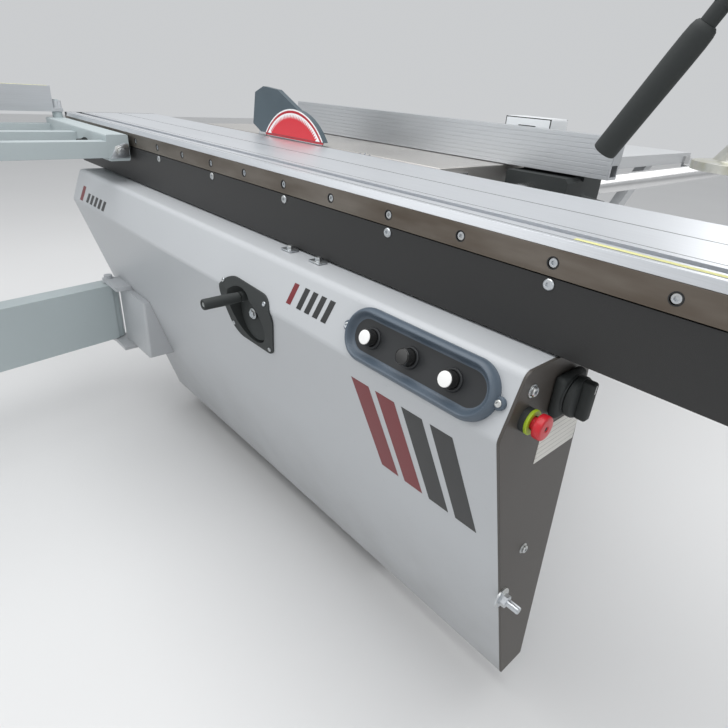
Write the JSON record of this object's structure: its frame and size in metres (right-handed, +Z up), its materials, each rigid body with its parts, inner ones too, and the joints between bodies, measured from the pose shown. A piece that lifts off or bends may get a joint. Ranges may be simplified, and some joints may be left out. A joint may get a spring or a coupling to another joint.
{
  "type": "sliding-table panel saw",
  "caption": "Sliding-table panel saw with roller carriage, tilting and rising blade unit, rip fence, swing-arm outrigger, crosscut fence and hold-down clamp.",
  "frame": {"origin": "on the floor, under the middle of the bounding box of the whole machine", "axes": "+Z up, +X along the sliding table towards the operator (infeed) end, +Y from the sliding table towards the rip fence"},
  "size_m": [2.816, 2.8, 1.17],
  "materials": {
    "body_grey": "fine textured powder coat",
    "arm_grey": "smooth powder coat",
    "frame_dark": "matt paint",
    "panel_dark": "fine textured powder coat",
    "beam_anthracite": "satin powder coat",
    "zinc": "zinc plated",
    "bezel_plastic": "moulded",
    "cap_white": "gloss",
    "cap_black": "gloss",
    "black_plastic": "fine moulded grain",
    "estop_red": "satin",
    "cast_iron": "ground",
    "ext_grey": "powder coat",
    "steel_bright": "ground",
    "steel_brown": "oiled strip",
    "aluminium": "satin anodised",
    "end_cap": "moulded",
    "zinc_foot": "yellow zinc plated",
    "blade_steel": "ground",
    "guard_slate": "moulded",
    "motor_grey": "paint",
    "rubber": "ribbed",
    "duct_plastic": "moulded"
  },
  "bodies": {
    "base": {"base_frame": "frame_dark", "levelling_feet": "zinc", "cabinet_shell": "body_grey", "front_cover": "body_grey", "operator_end_panel": "panel_dark", "fixed_beam": "beam_anthracite", "base_fasteners": "zinc", "control_bezel": "bezel_plastic", "switch_housings": "black_plastic", "crank_plate": "black_plastic", "cast_table": "cast_iron", "extension_table": "ext_grey", "guide_bar": "steel_bright", "dust_port": "duct_plastic", "mains_gland": "black_plastic", "trunnion_brackets": "frame_dark", "swing_arm_bracket": "body_grey"},
    "door": {"service_door": "body_grey"},
    "saw_start": {"saw_start_button": "cap_white"},
    "stop": {"stop_button": "cap_black"},
    "scoring_start": {"scoring_start_button": "cap_white"},
    "estop": {"estop_head": "estop_red"},
    "main_switch": {"main_switch_knob": "black_plastic"},
    "crank": {"crank_arm": "black_plastic"},
    "crank_handle": {"crank_grip": "black_plastic"},
    "table": {"sliding_table": "aluminium", "table_steel_guides": "steel_brown", "strip_screws": "zinc", "table_end_caps": "end_cap", "push_handle": "black_plastic", "outrigger_bracket": "arm_grey", "outrigger_frame": "arm_grey", "support_bars": "aluminium", "clamp_column": "steel_bright"},
    "carriage": {"carriage_frame": "aluminium"},
    "axle_rear": {"carriage_axle_rear": "steel_bright"},
    "axle_front": {"carriage_axle_front": "steel_bright"},
    "cradle": {"saw_cradle": "frame_dark", "scoring_unit": "motor_grey"},
    "rise": {"rise_block": "frame_dark", "saw_motor": "motor_grey", "drive_belt": "rubber", "riving_knife": "steel_bright"},
    "arbor": {"saw_arbor": "steel_bright", "saw_blade": "blade_steel"},
    "motor_rotor": {"motor_pulley": "steel_bright"},
    "scoring_rotor": {"scoring_blade": "steel_bright"},
    "guard": {"guard_hood": "guard_slate"},
    "handwheel": {"tilt_handwheel": "black_plastic"},
    "fence_carriage": {"fence_carrier": "black_plastic"},
    "fence": {"fence_profile": "aluminium"},
    "fence_lock": {"fence_lever": "black_plastic"},
    "swing": {"swing_arm": "arm_grey"},
    "swing_ext": {"swing_arm_extension": "arm_grey"},
    "bracket_lever": {"bracket_clamp_lever": "black_plastic"},
    "crosscut": {"crosscut_fence": "aluminium"},
    "stop_flip": {"flip_stop": "black_plastic"},
    "clamp_arm_body": {"clamp_arm": "aluminium"},
    "clamp_foot_body": {"clamp_foot": "zinc_foot"},
    "clamp_lever_body": {"clamp_lever": "black_plastic"}
  },
  "joints": [
    {"name": "table_slide", "type": "slide", "parent": "base", "child": "table", "axis": [-1, 0, 0], "range_m": [-0.8, 1.2]},
    {"name": "carriage_slide", "type": "slide", "parent": "base", "child": "carriage", "axis": [-1, 0, 0], "range_m": [-0.4, 0.6]},
    {"name": "axle_rear_spin", "type": "hinge", "parent": "carriage", "child": "axle_rear", "pos_m": [-0.38, -0.145, 0.8163], "axis": [0, -1, 0], "range_deg": [-960, 1440]},
    {"name": "axle_front_spin", "type": "hinge", "parent": "carriage", "child": "axle_front", "pos_m": [0.38, -0.145, 0.8163], "axis": [0, -1, 0], "range_deg": [-960, 1440]},
    {"name": "blade_tilt", "type": "hinge", "parent": "base", "child": "cradle", "pos_m": [-0.575, 0.073, 0.89], "axis": [-1, 0, 0], "range_deg": [0, 45]},
    {"name": "blade_rise", "type": "slide", "parent": "cradle", "child": "rise", "axis": [0, 0, 1], "range_m": [-0.085, 0]},
    {"name": "arbor_spin", "type": "hinge", "parent": "rise", "child": "arbor", "pos_m": [-0.575, 0.073, 0.81], "axis": [0, 1, 0], "continuous": true},
    {"name": "motor_spin", "type": "hinge", "parent": "rise", "child": "motor_rotor", "pos_m": [-0.575, 0.3, 0.575], "axis": [0, 1, 0], "continuous": true},
    {"name": "scoring_spin", "type": "hinge", "parent": "cradle", "child": "scoring_rotor", "pos_m": [-0.313, 0.073, 0.833], "axis": [0, 1, 0], "continuous": true},
    {"name": "guard_lift", "type": "hinge", "parent": "rise", "child": "guard", "pos_m": [-0.72, 0.073, 0.928], "axis": [0, -1, 0], "range_deg": [0, 30]},
    {"name": "crank_turn", "type": "hinge", "parent": "base", "child": "crank", "pos_m": [-0.205, -0.276, 0.634], "axis": [0, -1, 0], "range_deg": [-1950, 0]},
    {"name": "crank_grip_spin", "type": "hinge", "parent": "crank", "child": "crank_handle", "pos_m": [-0.205, -0.345, 0.672], "axis": [0, -1, 0], "continuous": true},
    {"name": "handwheel_turn", "type": "hinge", "parent": "base", "child": "handwheel", "pos_m": [0.02, 0.4, 0.6], "axis": [1, 0, 0], "range_deg": [0, 3610]},
    {"name": "door_hinge", "type": "hinge", "parent": "base", "child": "door", "pos_m": [-0.704, 0.6442, 0.48], "axis": [0, 0, 1], "range_deg": [0, 95]},
    {"name": "saw_start_press", "type": "slide", "parent": "base", "child": "saw_start", "axis": [0, 0.9339, -0.3574], "range_m": [0, 0.004], "stiffness_N_per_m": 600, "springref_m": -0.002},
    {"name": "stop_press", "type": "slide", "parent": "base", "child": "stop", "axis": [0, 0.9339, -0.3574], "range_m": [0, 0.004], "stiffness_N_per_m": 600, "springref_m": -0.002},
    {"name": "scoring_start_press", "type": "slide", "parent": "base", "child": "scoring_start", "axis": [0, 0.9339, -0.3574], "range_m": [0, 0.004], "stiffness_N_per_m": 600, "springref_m": -0.002},
    {"name": "estop_press", "type": "slide", "parent": "base", "child": "estop", "axis": [-1, 0, 0], "range_m": [0, 0.005], "stiffness_N_per_m": 1500, "springref_m": -0.002},
    {"name": "main_switch_turn", "type": "hinge", "parent": "base", "child": "main_switch", "pos_m": [0.38, -0.186, 0.706], "axis": [1, 0, 0], "range_deg": [0, 90]},
    {"name": "fence_slide", "type": "slide", "parent": "base", "child": "fence_carriage", "axis": [0, 1, 0], "range_m": [-0.12, 0.9]},
    {"name": "fence_length", "type": "slide", "parent": "fence_carriage", "child": "fence", "axis": [1, 0, 0], "range_m": [-0.1, 0.35]},
    {"name": "fence_lock_turn", "type": "hinge", "parent": "fence_carriage", "child": "fence_lock", "pos_m": [0.06, 0.303, 0.828], "axis": [1, 0, 0], "range_deg": [-35, 35]},
    {"name": "swing_arm_hinge", "type": "hinge", "parent": "base", "child": "swing", "pos_m": [-1.083, -0.266, 0.34], "axis": [0, 0, 1], "range_deg": [-70, 46]},
    {"name": "swing_arm_telescope", "type": "slide", "parent": "swing", "child": "swing_ext", "axis": [0.1392, -0.9903, 0], "range_m": [0, 0.28]},
    {"name": "bracket_lever_turn", "type": "hinge", "parent": "table", "child": "bracket_lever", "pos_m": [-1.044, -0.29, 0.84], "axis": [0, 1, 0], "range_deg": [-60, 60]},
    {"name": "crosscut_mitre", "type": "hinge", "parent": "table", "child": "crosscut", "pos_m": [-1.375, -0.25, 0.893], "axis": [0, 0, 1], "range_deg": [0, 45]},
    {"name": "flip_stop_turn", "type": "hinge", "parent": "crosscut", "child": "stop_flip", "pos_m": [-1.375, -0.9, 0.978], "axis": [0, -1, 0], "range_deg": [0, 90]},
    {"name": "clamp_height", "type": "slide", "parent": "table", "child": "clamp_arm_body", "axis": [0, 0, 1], "range_m": [-0.06, 0.03]},
    {"name": "clamp_lever_turn", "type": "hinge", "parent": "clamp_arm_body", "child": "clamp_lever_body", "pos_m": [0.423, -0.1815, 1.11], "axis": [0, 1, 0], "range_deg": [0, 60]},
    {"name": "clamp_foot_slide", "type": "slide", "parent": "clamp_arm_body", "child": "clamp_foot_body", "axis": [0, 0, 1], "range_m": [0, 0.022]}
  ],
  "couplings": [
    {"joint": "carriage_slide", "follows": "table_slide", "ratio": 0.5},
    {"joint": "axle_rear_spin", "follows": "table_slide", "rad_per_m": 20.833},
    {"joint": "axle_front_spin", "follows": "table_slide", "rad_per_m": 20.833},
    {"joint": "swing_arm_hinge", "follows": "table_slide", "rad_per_m": -1},
    {"joint": "motor_spin", "follows": "arbor_spin", "ratio": 0.83333},
    {"joint": "crank_turn", "follows": "blade_rise", "rad_per_m": 400},
    {"joint": "handwheel_turn", "follows": "blade_tilt", "ratio": 80},
    {"joint": "clamp_foot_slide", "follows": "clamp_lever_turn", "m_per_rad": 0.02}
  ]
}
